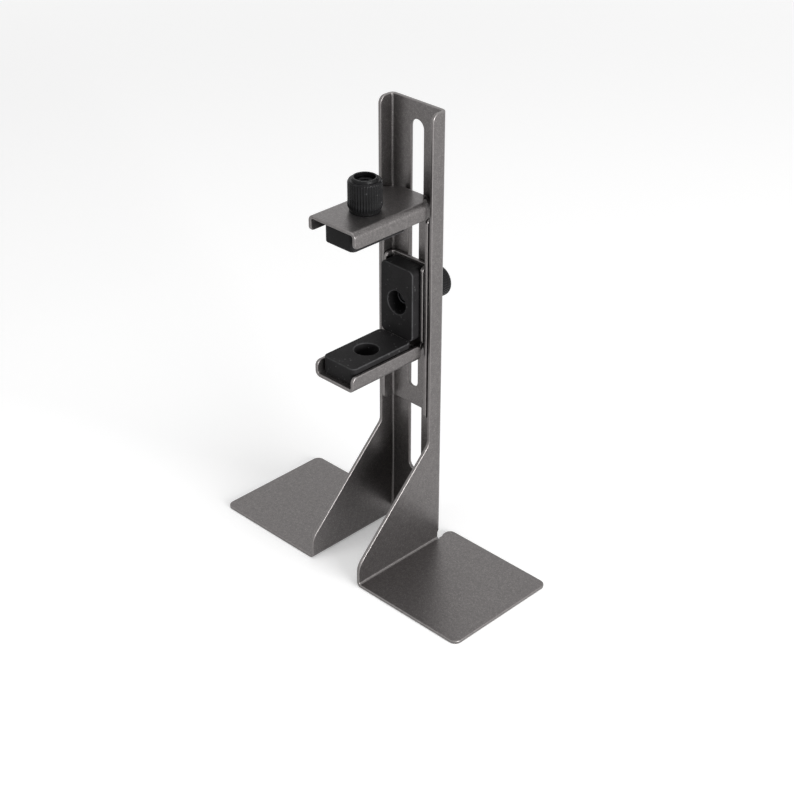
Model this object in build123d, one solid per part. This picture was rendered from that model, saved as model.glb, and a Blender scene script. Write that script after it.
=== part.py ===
from build123d import *
import math
import os

# Support bracket for a graphics card: a folded steel stand with two wide feet carries an upper
# and a lower clamp arm that slide up and down its slotted column. X runs across the column, -Y is
# the side the arms reach out to, +Z is up. Sizes are in millimetres. The pieces are laid out from
# the back face of the column's web, and written with the origin on the floor at the middle of the
# whole footprint.

# Sheet steel shared by the stand and both brackets
SHEET = 1.5
BEND_INSIDE = 1.0

# Column: a channel that is open to the front, with a long slot in its web
COLUMN_WIDTH = 30.0
COLUMN_HEIGHT = 200.7
COLUMN_DEPTH = 8.2
COLUMN_TOP_CORNER = 3.2
COLUMN_FOOT_CUT = 4.5
COLUMN_SLOT_WIDTH = 7.0
COLUMN_SLOT_LOW = 29.8
COLUMN_SLOT_TOP_MARGIN = 7.6

# Gussets and feet: the column's sides widen towards the floor and turn outwards as flat feet
FOOT_REACH = 50.4
GUSSET_NOSE_HEIGHT = 10.4
GUSSET_NOSE_RADIUS = 8.0
GUSSET_TOP_RADIUS = 4.0
FEET_WIDTH = 142.0
FOOT_BACK = 6.3
FOOT_CORNER = 3.2
RELIEF_BACK = 0.7
RELIEF_WIDTH = 1.4

# Upper bracket: nests inside the column, its arm stands out at the top with sides turned down
UPPER_SIDE_CLEARANCE = 0.5
WEB_CLEARANCE = 0.3
UPPER_DEPTH = 8.7
UPPER_LOW = 64.6
UPPER_CORNER = 1.8
UPPER_SLOT_WIDTH = 5.8
UPPER_SLOT_LOW_MARGIN = 8.6
UPPER_SLOT_HIGH_MARGIN = 8.7
UPPER_NECK_WIDTH = 14.4
ARM_TOP = 163.7
ARM_REACH = 48.4
ARM_SIDE_HEIGHT = 6.9
NOTCH_SETBACK = 1.4
SIDE_GAP = 0.4

# Lower bracket: nests inside the upper one, its shelf stands out at the bottom with sides up
LOWER_SIDE_CLEARANCE = 0.45
LOWER_DEPTH = 9.2
LOWER_TOP_MARGIN = 1.3
LOWER_CORNER = 2.2
LOWER_NECK_WIDTH = 12.4
SHELF_LOW = 92.6
SHELF_FRONT_MARGIN = 2.3
SHELF_SIDE_HEIGHT = 7.1
SHELF_CORNER = 2.4

# Rubber pads: two on the lower bracket, which meet in its corner, and one under the upper arm
PAD_THICKNESS = 7.8
PAD_LENGTH = 32.2
PAD_SIDE_CLEARANCE = 0.5
PAD_MEETING_GAP = 0.2
PAD_CORNER = 2.4
PAD_EDGE = 0.5
PAD_HOLE = 10.3
BACK_PAD_MIDDLE = 117.4
BACK_HOLE_DROP = 0.65
CLAMP_PAD_LENGTH = 29.6
CLAMP_PAD_WIDTH = 16.4
CLAMP_PAD_DROP = 9.6
CLAMP_PAD_FLOOR = 2.3

# Thumb screws: a socket head bolt held in a ribbed plastic knob
CLAMP_AXIS_REACH = 30.2
BOLT_DIAMETER = 5.0
BOLT_HEAD_DIAMETER = 8.5
BOLT_HEAD_HEIGHT = 5.0
BOLT_HEX = 4.0
BOLT_HEX_DEPTH = 2.5
BOLT_TIP_DIAMETER = 3.0
BOLT_TIP_LENGTH = 0.8
LOCK_BOLT_LENGTH = 16.0
KNOB_DIAMETER = 14.0
KNOB_HEIGHT = 14.0
KNOB_BODY_DIAMETER = 13.2
KNOB_RIBS = 38
KNOB_RIB_DEPTH = 0.3
KNOB_NECK_DIAMETER = 12.7
KNOB_NECK_HEIGHT = 2.3
KNOB_COLLAR_LOW = 2.9
KNOB_COLLAR_HIGH = 3.5
KNOB_RIBS_LOW = 4.2
KNOB_RIBS_HIGH = 12.0
KNOB_SHOULDER_LOW = 13.1
KNOB_SHOULDER_HIGH = 13.6
KNOB_CROWN_DIAMETER = 12.2
KNOB_LIP_DIAMETER = 10.2
KNOB_RECESS = 1.8

# Press nuts in the sheet, and the disc that carries the clamp pad
NUT_DIAMETER = 7.0
NUT_HEIGHT = 4.0
NUT_SPIGOT_DIAMETER = 6.2
NUT_SPIGOT_HEIGHT = 1.2
NUT_PAD_CLEARANCE = 0.1
DISC_DIAMETER = 9.6
DISC_THICKNESS = 1.2

# Fits, each on the radius or the face
PRESS_FIT = 0.03
RUNNING_FIT = 0.05
SEAT_GAP = 0.1

BEND_OUTSIDE = BEND_INSIDE + SHEET
UPPER_HALF = COLUMN_WIDTH / 2 - SHEET - UPPER_SIDE_CLEARANCE
UPPER_BACK = SHEET + WEB_CLEARANCE
LOWER_HALF = UPPER_HALF - SHEET - LOWER_SIDE_CLEARANCE
LOWER_BACK = UPPER_BACK + SHEET + WEB_CLEARANCE
LOWER_FRONT = LOWER_BACK + SHEET
ARM_UNDERSIDE = ARM_TOP - SHEET
ARM_SIDE_BACK = UPPER_DEPTH + SIDE_GAP
LOWER_HIGH = BACK_PAD_MIDDLE + PAD_LENGTH / 2 + LOWER_TOP_MARGIN
SHELF_TOP = SHELF_LOW + SHEET
SHELF_REACH = CLAMP_AXIS_REACH + PAD_LENGTH / 2 + SHELF_FRONT_MARGIN
SHELF_SIDE_TOP = SHELF_LOW + SHELF_SIDE_HEIGHT
SHELF_SIDE_BACK = LOWER_DEPTH + SIDE_GAP
LOWER_SIDE_LOW = SHELF_SIDE_TOP + SIDE_GAP
PAD_WIDTH = 2 * (LOWER_HALF - SHEET - PAD_SIDE_CLEARANCE)
BACK_HOLE_HEIGHT = BACK_PAD_MIDDLE - BACK_HOLE_DROP
LOCK_AXIS_HEIGHT = BACK_HOLE_HEIGHT + (PAD_HOLE - NUT_DIAMETER) / 2 - NUT_PAD_CLEARANCE
REST_PAD_REAR = LOWER_FRONT + PAD_THICKNESS + PAD_MEETING_GAP
REST_PAD_FRONT = SHELF_REACH - SHELF_FRONT_MARGIN
CLAMP_PAD_LOW = ARM_UNDERSIDE - CLAMP_PAD_DROP
DISC_LOW = CLAMP_PAD_LOW + CLAMP_PAD_FLOOR
BOLT_HEAD_SEAT = KNOB_HEIGHT - KNOB_RECESS - BOLT_HEAD_HEIGHT

# From the column's back face to the middle of the footprint, knob included
FOOTPRINT_SHIFT = (FOOT_REACH - SEAT_GAP - KNOB_HEIGHT) / 2


def channel(half_width, back, depth, low, high):
    """A channel of bent sheet, open to the front, standing from low to high."""
    outer = Pos(0, -(back + depth) / 2) * Rectangle(2 * half_width, depth - back)
    outer = fillet(outer.vertices().group_by(Axis.Y)[-1], BEND_OUTSIDE)
    hollow = depth - back
    inner = Pos(0, -back - SHEET - hollow / 2) * Rectangle(2 * (half_width - SHEET), hollow)
    inner = fillet(inner.vertices().group_by(Axis.Y)[-1], BEND_INSIDE)
    return Pos(0, 0, low) * extrude(outer - inner, high - low)


def trough(half_width, height, front, back):
    """A channel of bent sheet lying along Y, its flat side on top at height 0, open below."""
    outer = Pos(0, -height / 2) * Rectangle(2 * half_width, height)
    outer = fillet(outer.vertices().group_by(Axis.Y)[-1], BEND_OUTSIDE)
    inner = Pos(0, -SHEET - height / 2) * Rectangle(2 * (half_width - SHEET), height)
    inner = fillet(inner.vertices().group_by(Axis.Y)[-1], BEND_INSIDE)
    length = front - back
    return Pos(0, -back, 0) * extrude(Plane.XZ * (outer - inner), length)


def quarter_bend(width):
    """A quarter turn of sheet about the X axis, from the +Y side round to the +Z side."""
    ring = Circle(BEND_OUTSIDE) - Circle(BEND_INSIDE)
    quarter = ring & Pos(BEND_OUTSIDE / 2, BEND_OUTSIDE / 2) * Rectangle(BEND_OUTSIDE, BEND_OUTSIDE)
    return Pos(-width / 2, 0, 0) * extrude(Plane.YZ * quarter, width, dir=(1, 0, 0))


def seen_from_side(points, half_width, rounded):
    """A solid across the whole width whose outline is given as (y, z), with some corners rounded.

    rounded holds pairs of a corner's number in the list and its radius.
    """
    outline = make_face(Polyline(*points, close=True))
    for number, radius in rounded:
        corner = outline.vertices().sort_by_distance(points[number])[0]
        outline = fillet(corner, radius)
    return Pos(-half_width, 0, 0) * extrude(Plane.YZ * outline, 2 * half_width, dir=(1, 0, 0))


def seen_from_front(points):
    """A deep solid whose outline is given as (x, z)."""
    return extrude(Plane.XZ * make_face(Polyline(*points, close=True)), 60, both=True)


def seen_from_above(points, low, high):
    """An upright solid whose outline is given as (x, y)."""
    return Pos(0, 0, low) * extrude(make_face(Polyline(*points, close=True)), high - low)


def slot_through_web(width, low, high):
    """A cutter for an upright slot with round ends, running right through from front to back."""
    outline = SlotOverall(high - low, width, rotation=90)
    return Pos(0, 0, (low + high) / 2) * extrude(Plane.XZ * outline, 20, both=True)


def upright(diameter, low, high):
    """A round bar on the Z axis between two heights."""
    return Pos(0, 0, (low + high) / 2) * Cylinder(diameter / 2, high - low)


def pad_block(length, width, thickness):
    """A rubber block centred on Z, its underside at height 0, with rounded corners and broken edges."""
    plan = fillet(Rectangle(width, length).vertices(), PAD_CORNER)
    block = extrude(plan, thickness)
    rims = block.edges().group_by(Axis.Z)[0] + block.edges().group_by(Axis.Z)[-1]
    return chamfer(rims, PAD_EDGE)


def press_nut():
    """A round nut standing on the sheet at height 0, its spigot reaching down into the sheet."""
    body = chamfer(upright(NUT_DIAMETER, 0, NUT_HEIGHT).edges().group_by(Axis.Z)[-1], 0.4)
    body += upright(NUT_SPIGOT_DIAMETER, -NUT_SPIGOT_HEIGHT, 0)
    return body - upright(BOLT_DIAMETER + 2 * RUNNING_FIT, -NUT_SPIGOT_HEIGHT, NUT_HEIGHT)


def spigot_hole():
    """A cutter for the hole that a press nut's spigot sits in."""
    return upright(NUT_SPIGOT_DIAMETER + 2 * PRESS_FIT, -2 * SHEET, 2 * SHEET)


def knob():
    """A ribbed knob standing on its neck at height 0, with a wider collar, bored for the bolt."""
    crest = KNOB_BODY_DIAMETER / 2
    root = crest - KNOB_RIB_DEPTH
    profile = make_face(
        Polyline(
            (0, 0),
            (KNOB_NECK_DIAMETER / 2, 0),
            (KNOB_NECK_DIAMETER / 2, KNOB_NECK_HEIGHT),
            (KNOB_DIAMETER / 2, KNOB_COLLAR_LOW),
            (KNOB_DIAMETER / 2, KNOB_COLLAR_HIGH),
            (crest, KNOB_RIBS_LOW),
            (root, KNOB_RIBS_LOW),
            (root, KNOB_RIBS_HIGH),
            (crest, KNOB_RIBS_HIGH),
            (crest, KNOB_SHOULDER_LOW),
            (KNOB_CROWN_DIAMETER / 2, KNOB_SHOULDER_HIGH),
            (KNOB_LIP_DIAMETER / 2, KNOB_HEIGHT),
            (0, KNOB_HEIGHT),
            close=True,
        )
    )
    body = revolve(Plane.XZ * profile, Axis.Z)
    step = 2 * math.pi / KNOB_RIBS
    ring = []
    for rib in range(KNOB_RIBS):
        for share, radius in ((0.0, root), (0.5, crest)):
            angle = (rib + share) * step
            ring.append((radius * math.cos(angle), radius * math.sin(angle)))
    ribs = make_face(Polyline(*ring, close=True)) - Circle(BOLT_HEAD_DIAMETER / 2)
    body += Pos(0, 0, KNOB_RIBS_LOW) * extrude(ribs, KNOB_RIBS_HIGH - KNOB_RIBS_LOW)
    body -= upright(BOLT_DIAMETER + 2 * PRESS_FIT, 0, KNOB_HEIGHT)
    return body - upright(BOLT_HEAD_DIAMETER + 2 * PRESS_FIT, BOLT_HEAD_SEAT, KNOB_HEIGHT)


def bolt(length):
    """A socket head bolt in its knob, the knob's foot at height 0, its shank running down."""
    head_top = BOLT_HEAD_SEAT + BOLT_HEAD_HEIGHT
    head = upright(BOLT_HEAD_DIAMETER, BOLT_HEAD_SEAT, head_top)
    head = chamfer(head.edges().group_by(Axis.Z)[-1], 0.4)
    hexagon = RegularPolygon(BOLT_HEX / 2, 6, major_radius=False)
    head -= Pos(0, 0, head_top - BOLT_HEX_DEPTH) * extrude(hexagon, BOLT_HEX_DEPTH)
    shank = upright(BOLT_DIAMETER, BOLT_HEAD_SEAT - length, BOLT_HEAD_SEAT)
    return head + chamfer(shank.edges().group_by(Axis.Z)[0], 0.3)


def on_arm(piece):
    """Moves a piece built about the Z axis onto the upper arm, on the clamp screw's axis."""
    return Pos(0, -CLAMP_AXIS_REACH, ARM_TOP) * piece


def on_back(piece):
    """Lays a piece built about the Z axis along +Y, on the locking screw's axis."""
    return Pos(0, 0, LOCK_AXIS_HEIGHT) * Rot(-90, 0, 0) * piece


def stand():
    half = COLUMN_WIDTH / 2
    slope_top = GUSSET_NOSE_HEIGHT + FOOT_REACH - COLUMN_DEPTH
    relief_front = RELIEF_BACK + RELIEF_WIDTH
    side_view = [
        (1, COLUMN_HEIGHT),
        (-COLUMN_DEPTH, COLUMN_HEIGHT),
        (-COLUMN_DEPTH, slope_top),
        (-FOOT_REACH, GUSSET_NOSE_HEIGHT),
        (-FOOT_REACH, 0),
        (-relief_front, 0),
        (-relief_front, COLUMN_FOOT_CUT),
        (1, COLUMN_FOOT_CUT),
    ]
    rounded = [(1, COLUMN_TOP_CORNER), (2, GUSSET_TOP_RADIUS), (3, GUSSET_NOSE_RADIUS)]
    body = channel(half, 0, FOOT_REACH, BEND_OUTSIDE, COLUMN_HEIGHT)
    body &= seen_from_side(side_view, half + 1, rounded)
    slot_high = COLUMN_HEIGHT - COLUMN_SLOT_TOP_MARGIN
    body -= slot_through_web(COLUMN_SLOT_WIDTH, COLUMN_SLOT_LOW, slot_high)

    flat_start = half + BEND_INSIDE
    outline = make_face(
        Polyline(
            (flat_start, -FOOT_REACH),
            (FEET_WIDTH / 2, -FOOT_REACH),
            (FEET_WIDTH / 2, FOOT_BACK),
            (half, FOOT_BACK),
            (half, -RELIEF_BACK),
            (flat_start, -RELIEF_BACK),
            close=True,
        )
    )
    corners = [v for v in outline.vertices() if v.X > half + 5 or v.Y > 1]
    right_foot = extrude(fillet(corners, FOOT_CORNER), SHEET)
    turn = Rot(0, 0, -90) * Rot(-90, 0, 0) * Rot(-90, 0, 0) * quarter_bend(FOOT_REACH - relief_front)
    middle = -(FOOT_REACH + relief_front) / 2
    turn = Pos(flat_start, middle, BEND_OUTSIDE) * turn
    right_foot += turn
    return body + right_foot + mirror(right_foot, about=Plane.YZ)


def upper_bracket():
    half = UPPER_HALF
    neck = UPPER_NECK_WIDTH / 2
    side_low = ARM_TOP - ARM_SIDE_HEIGHT
    web_side_top = side_low - SIDE_GAP
    bend_y = -UPPER_BACK - BEND_OUTSIDE
    bend_z = ARM_TOP - BEND_OUTSIDE
    notch = half - NOTCH_SETBACK

    web = channel(half, UPPER_BACK, UPPER_DEPTH, UPPER_LOW, bend_z)
    web &= seen_from_front(
        [
            (-half - 1, UPPER_LOW),
            (half + 1, UPPER_LOW),
            (half + 1, web_side_top),
            (notch, web_side_top),
            (neck, web_side_top + notch - neck),
            (neck, bend_z),
            (-neck, bend_z),
            (-neck, web_side_top + notch - neck),
            (-notch, web_side_top),
            (-half - 1, web_side_top),
        ]
    )
    web_side_view = [
        (0, UPPER_LOW),
        (-UPPER_DEPTH, UPPER_LOW),
        (-UPPER_DEPTH, web_side_top),
        (bend_y, web_side_top),
        (bend_y, bend_z),
        (0, bend_z),
    ]
    web &= seen_from_side(web_side_view, half + 1, [(1, UPPER_CORNER), (2, UPPER_CORNER)])
    slot_low = UPPER_LOW + UPPER_SLOT_LOW_MARGIN
    slot_high = ARM_TOP - UPPER_SLOT_HIGH_MARGIN
    web -= slot_through_web(UPPER_SLOT_WIDTH, slot_low, slot_high)

    arm = Pos(0, 0, ARM_TOP) * trough(half, ARM_SIDE_HEIGHT, ARM_REACH, -bend_y)
    arm_side_view = [
        (-ARM_REACH, ARM_TOP + 1),
        (-ARM_REACH, side_low),
        (-ARM_SIDE_BACK, side_low),
        (-ARM_SIDE_BACK, bend_z),
        (0, bend_z),
        (0, ARM_TOP + 1),
    ]
    arm &= seen_from_side(arm_side_view, half + 1, [(1, UPPER_CORNER), (2, UPPER_CORNER)])
    arm &= seen_from_above(
        [
            (-half - 1, -ARM_REACH),
            (half + 1, -ARM_REACH),
            (half + 1, -ARM_SIDE_BACK),
            (notch, -ARM_SIDE_BACK),
            (neck, -ARM_SIDE_BACK + notch - neck),
            (neck, 0),
            (-neck, 0),
            (-neck, -ARM_SIDE_BACK + notch - neck),
            (-notch, -ARM_SIDE_BACK),
            (-half - 1, -ARM_SIDE_BACK),
        ],
        side_low - 1,
        ARM_TOP + 1,
    )
    arm -= on_arm(spigot_hole())
    return web + arm + Pos(0, bend_y, bend_z) * quarter_bend(UPPER_NECK_WIDTH)


def lower_bracket():
    half = LOWER_HALF
    neck = LOWER_NECK_WIDTH / 2
    bend_y = -LOWER_BACK - BEND_OUTSIDE
    bend_z = SHELF_LOW + BEND_OUTSIDE
    notch = half - NOTCH_SETBACK

    web = channel(half, LOWER_BACK, LOWER_DEPTH, bend_z, LOWER_HIGH)
    web &= seen_from_front(
        [
            (-half - 1, LOWER_HIGH),
            (half + 1, LOWER_HIGH),
            (half + 1, LOWER_SIDE_LOW),
            (notch, LOWER_SIDE_LOW),
            (neck, LOWER_SIDE_LOW - notch + neck),
            (neck, bend_z),
            (-neck, bend_z),
            (-neck, LOWER_SIDE_LOW - notch + neck),
            (-notch, LOWER_SIDE_LOW),
            (-half - 1, LOWER_SIDE_LOW),
        ]
    )
    web_side_view = [
        (0, LOWER_HIGH),
        (-LOWER_DEPTH, LOWER_HIGH),
        (-LOWER_DEPTH, LOWER_SIDE_LOW),
        (bend_y, LOWER_SIDE_LOW),
        (bend_y, bend_z),
        (0, bend_z),
    ]
    web &= seen_from_side(web_side_view, half + 1, [(1, LOWER_CORNER), (2, LOWER_CORNER)])
    web -= on_back(spigot_hole()).move(Pos(0, -LOWER_FRONT, 0))

    shelf = mirror(trough(half, SHELF_SIDE_HEIGHT, SHELF_REACH, -bend_y), about=Plane.XY)
    shelf = Pos(0, 0, SHELF_LOW) * shelf
    shelf_side_view = [
        (-SHELF_REACH, SHELF_LOW - 1),
        (-SHELF_REACH, SHELF_SIDE_TOP),
        (-SHELF_SIDE_BACK, SHELF_SIDE_TOP),
        (-SHELF_SIDE_BACK, bend_z),
        (0, bend_z),
        (0, SHELF_LOW - 1),
    ]
    shelf &= seen_from_side(shelf_side_view, half + 1, [(1, SHELF_CORNER), (2, SHELF_CORNER)])
    shelf &= seen_from_above(
        [
            (-half - 1, -SHELF_REACH),
            (half + 1, -SHELF_REACH),
            (half + 1, -SHELF_SIDE_BACK),
            (notch, -SHELF_SIDE_BACK),
            (neck, -SHELF_SIDE_BACK + notch - neck),
            (neck, 0),
            (-neck, 0),
            (-neck, -SHELF_SIDE_BACK + notch - neck),
            (-notch, -SHELF_SIDE_BACK),
            (-half - 1, -SHELF_SIDE_BACK),
        ],
        SHELF_LOW - 1,
        SHELF_SIDE_TOP + 1,
    )
    turn = mirror(quarter_bend(LOWER_NECK_WIDTH), about=Plane.XY)
    return web + shelf + Pos(0, bend_y, bend_z) * turn


def rest_pad():
    middle = (REST_PAD_FRONT + REST_PAD_REAR) / 2
    pad = pad_block(REST_PAD_FRONT - REST_PAD_REAR, PAD_WIDTH, PAD_THICKNESS)
    pad -= Pos(0, middle - CLAMP_AXIS_REACH, 0) * upright(PAD_HOLE, 0, PAD_THICKNESS)
    return Pos(0, -middle, SHELF_TOP) * pad


def back_pad():
    pad = pad_block(PAD_LENGTH, PAD_WIDTH, PAD_THICKNESS)
    pad -= Pos(0, -BACK_HOLE_DROP, 0) * upright(PAD_HOLE, 0, PAD_THICKNESS)
    return Pos(0, -LOWER_FRONT, BACK_PAD_MIDDLE) * Rot(90, 0, 0) * pad


def clamp_pad():
    pad = pad_block(CLAMP_PAD_LENGTH, CLAMP_PAD_WIDTH, PAD_THICKNESS)
    pad -= upright(PAD_HOLE, CLAMP_PAD_FLOOR, PAD_THICKNESS)
    return Pos(0, -CLAMP_AXIS_REACH, CLAMP_PAD_LOW) * pad


def swivel_disc():
    disc = upright(DISC_DIAMETER, 0, DISC_THICKNESS)
    disc -= upright(BOLT_TIP_DIAMETER + 2 * RUNNING_FIT, 0, DISC_THICKNESS)
    return Pos(0, -CLAMP_AXIS_REACH, DISC_LOW) * disc


def clamp_nut():
    return on_arm(Pos(0, 0, -SHEET) * Rot(180, 0, 0) * press_nut())


def clamp_knob():
    return on_arm(Pos(0, 0, SEAT_GAP) * knob())


def clamp_bolt():
    length = ARM_TOP + SEAT_GAP + BOLT_HEAD_SEAT - DISC_LOW - DISC_THICKNESS - RUNNING_FIT
    shank_end = BOLT_HEAD_SEAT - length
    body = bolt(length) + upright(BOLT_TIP_DIAMETER, shank_end - BOLT_TIP_LENGTH, shank_end)
    return on_arm(Pos(0, 0, SEAT_GAP) * body)


def lock_nut():
    return Pos(0, -LOWER_FRONT, 0) * on_back(Rot(180, 0, 0) * press_nut())


def lock_knob():
    return on_back(Pos(0, 0, SEAT_GAP) * knob())


def lock_bolt():
    return on_back(Pos(0, 0, SEAT_GAP) * bolt(LOCK_BOLT_LENGTH))


PIECES = (
    stand,
    upper_bracket,
    lower_bracket,
    rest_pad,
    back_pad,
    clamp_pad,
    swivel_disc,
    clamp_nut,
    clamp_knob,
    clamp_bolt,
    lock_nut,
    lock_knob,
    lock_bolt,
)

if __name__ == "__main__":
    os.makedirs("parts", exist_ok=True)
    for piece in PIECES:
        placed = Pos(0, FOOTPRINT_SHIFT, 0) * piece()
        export_step(placed, os.path.join("parts", piece.__name__ + ".step"))
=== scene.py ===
import math

import bmesh
import bpy
from bpy.props import FloatProperty, FloatVectorProperty, IntProperty, PointerProperty
from mathutils import Matrix, Vector


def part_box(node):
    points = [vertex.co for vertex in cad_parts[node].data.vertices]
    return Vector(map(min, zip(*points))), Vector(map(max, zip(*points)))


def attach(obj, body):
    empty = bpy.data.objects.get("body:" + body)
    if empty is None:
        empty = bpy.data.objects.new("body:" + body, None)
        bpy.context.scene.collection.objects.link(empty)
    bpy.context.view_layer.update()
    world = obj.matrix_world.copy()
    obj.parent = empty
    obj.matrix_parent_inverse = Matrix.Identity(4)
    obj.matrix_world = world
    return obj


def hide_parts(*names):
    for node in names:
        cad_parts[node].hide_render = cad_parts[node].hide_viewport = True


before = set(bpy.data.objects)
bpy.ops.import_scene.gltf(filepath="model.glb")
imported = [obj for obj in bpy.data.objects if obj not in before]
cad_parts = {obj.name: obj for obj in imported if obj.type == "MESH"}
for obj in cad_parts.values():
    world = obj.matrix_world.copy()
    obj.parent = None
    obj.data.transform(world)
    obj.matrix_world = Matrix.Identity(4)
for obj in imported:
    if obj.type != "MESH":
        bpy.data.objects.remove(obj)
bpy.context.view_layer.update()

bl_info = {
    "name": "Graphics card support bracket",
    "version": (1, 0, 0),
    "blender": (4, 5, 0),
    "location": "3D View > Sidebar > Support bracket",
    "description": "Builds a folded steel graphics card support with sliding clamp arms",
    "category": "Add Mesh",
}

MM = 0.001

# -------- sizes, in millimetres

# Lowest and highest corners of the solids, read from the frame
STAND_LOW, STAND_HIGH = (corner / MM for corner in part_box("stand"))
UPPER_LOW, UPPER_HIGH = (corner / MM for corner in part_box("upper_bracket"))
LOWER_LOW, LOWER_HIGH = (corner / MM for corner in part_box("lower_bracket"))
REST_LOW, REST_HIGH = (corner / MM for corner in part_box("rest_pad"))
BACK_LOW, BACK_HIGH = (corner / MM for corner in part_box("back_pad"))
CLAMP_LOW, CLAMP_HIGH = (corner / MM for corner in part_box("clamp_pad"))
KNOB_LOW, KNOB_HIGH = (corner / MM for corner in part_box("clamp_knob"))
BOLT_LOW, BOLT_HIGH = (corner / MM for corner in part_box("clamp_bolt"))
ARM_NUT_LOW, ARM_NUT_HIGH = (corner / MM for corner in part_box("clamp_nut"))
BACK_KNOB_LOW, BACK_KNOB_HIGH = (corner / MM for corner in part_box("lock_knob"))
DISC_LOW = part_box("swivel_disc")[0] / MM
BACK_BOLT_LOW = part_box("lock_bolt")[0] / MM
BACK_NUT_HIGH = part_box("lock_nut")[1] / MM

# The clamp screw's line, and the height of the locking screw's
CLAMP_AXIS = Vector((0, (KNOB_LOW.y + KNOB_HIGH.y) / 2, 0))
LOCK_AXIS = Vector((0, 0, (BACK_KNOB_LOW.z + BACK_KNOB_HIGH.z) / 2))

# Folded sheet, with the radii of a bend and its length along the sheet's middle
SHEET = 1.5
BEND_INSIDE = 1.0
BEND_OUTSIDE = BEND_INSIDE + SHEET
BEND_LENGTH = (BEND_INSIDE + SHEET / 2) * math.pi / 2
BEND_STEPS = 8
CUT_ROUND = 0.3

# Layer that marks rounded edges, where the materials paint a highlight, and its value on a sheet's
# cut walls, where that painted highlight is weaker
EDGE_LAYER = "rounded_edge"
CUT_WALL_HIGHLIGHT = 0.45

# Column: back face, half width, depth of its sides, lower edge, slot (width, low, high)
COLUMN_BACK = BACK_KNOB_LOW.y - 0.1
COLUMN_HALF = 15.0
COLUMN_DEPTH = 8.2
COLUMN_FOOT = 4.5
COLUMN_CORNER = 3.2
COLUMN_SLOT = (7.0, 29.8, 193.1)

# Gussets: front corner's height and rounding, and the rounding at the top
NOSE_HEIGHT = 10.4
NOSE_ROUND = 8.0
SLOPE_ROUND = 4.0

# Feet: depth at the back, corners, and the height in the flat sheet under which they start
FOOT_BACK = -6.3
FOOT_CORNER = 3.2
FOOT_REAR_CORNER = 3.0
FOOT_TOP = 3.4

# Relief cut between column and foot, and the small hollow behind it
RELIEF_BACK = 1.5
RELIEF_FRONT = 2.1
RELIEF_ROUND = 0.25
HOLLOW_FRONT = -0.1
HOLLOW_BACK = -1.9
HOLLOW_STEP = 0.4
HOLLOW_ROUND = 0.8

# Sliding brackets: depths of their sides, and the waist where these are cut away
UPPER_SIDE = 6.9
LOWER_SIDE_FRONT = 9.2
SHELF_SIDE = 7.1
UPPER_WAIST = 7.2
LOWER_WAIST = 6.2
WAIST_STEP = 1.4
SIDE_GAP = 0.4
ARM_STOP = 9.1
SHELF_STOP = 9.6
SIDE_CORNER = 1.8
LOWER_TOP_CORNER = 2.2
SHELF_CORNER = 2.4

# Upper bracket's slot: width, and how far its ends are from the bracket's
UPPER_SLOT_WIDTH = 5.8
UPPER_SLOT_FOOT = 8.6
UPPER_SLOT_TOP = 8.7

# Pads: corners, hole, and how far below its pad's middle the rear one sits
PAD_CORNER = 2.4
PAD_HOLE = 10.3
BACK_HOLE_DROP = 0.65

# Press nuts: bore, body and spigot across, and the spigot's height in the sheet
NUT_BORE = 5.1
NUT_BODY = 7.0
NUT_SPIGOT = 6.2
NUT_SPIGOT_HEIGHT = 1.2
SPIGOT_HOLE = NUT_SPIGOT + 0.06

# Disc at the clamp screw's tip: radii and height
DISC_RADIUS = 4.8
DISC_HOLE = 1.55
DISC_HEIGHT = 1.2

# Knobs: radii, the gap round their bolt, and the height of its head's seat
KNOB_NECK = 6.35
KNOB_BODY = 6.88
KNOB_RING = 5.2
BOLT_GAP = 0.03
BOLT_SEAT = 7.2

# Bolts: radii and heights of head, shank, tip and hexagon socket
BOLT_HEAD = 4.25
BOLT_HEAD_HEIGHT = 5.0
BOLT_BEVEL = 0.5
BOLT_SHANK = 2.5
BOLT_END = 2.1
TIP_RADIUS = 1.5
TIP_LENGTH = 0.8
SOCKET_HALF = 2.0
SOCKET_DEPTH = 2.5
SOCKET_BEVEL = 0.15

# Where ribs and thread are cut, in metres
RIB_ZONE = {"Low": 1.2 * MM, "High": 12.45 * MM, "Fade": 0.5 * MM, "Inner radius": 6.2 * MM}
THREAD_ZONE = {"High": -1.0 * MM, "Inner radius": 2.3 * MM, "Outer radius": 2.6 * MM}

# -------- studio, in metres and degrees

CAMERA_PLACE = (0.435958, -0.434197, 0.440024)
CAMERA_YAW_PITCH_ROLL = (43.706, 30.392, 0.591)
CAMERA_LENS = 77.36
CAMERA_SENSOR = 36
CAMERA_SHIFT = (-0.03368, -0.01292)
CAMERA_CLIP = (0.01, 50)

# Each lamp's place, aim, width, height and the setting of its power
LAMPS = {
    "Side lamp": ((1.7, -0.1, 0.35), (0, 0, 0.1), 1.2, 0.6, "key_power"),
    "Top lamp": ((0.1, 0.0, 1.7), (0, 0, 0), 1.4, 1.4, "top_power"),
    "Back lamp": ((-1.0, 1.05, 0.95), (0, 0, 0.1), 1.3, 1.0, "back_power"),
    "Front lamp": ((-0.5, -1.3, 0.7), (0, 0, 0.1), 0.6, 0.8, "front_power"),
}

# Floor: half its width and its drop in millimetres, the distances between which it turns white,
# and its tone for the light and for the camera
FLOOR_HALF = 4000
FLOOR_DROP = 0.05
FLOOR_FADE = (0.45, 1.3)
FLOOR_TONES = (0.8, 0.92)


# -------- settings shown to the user


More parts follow.
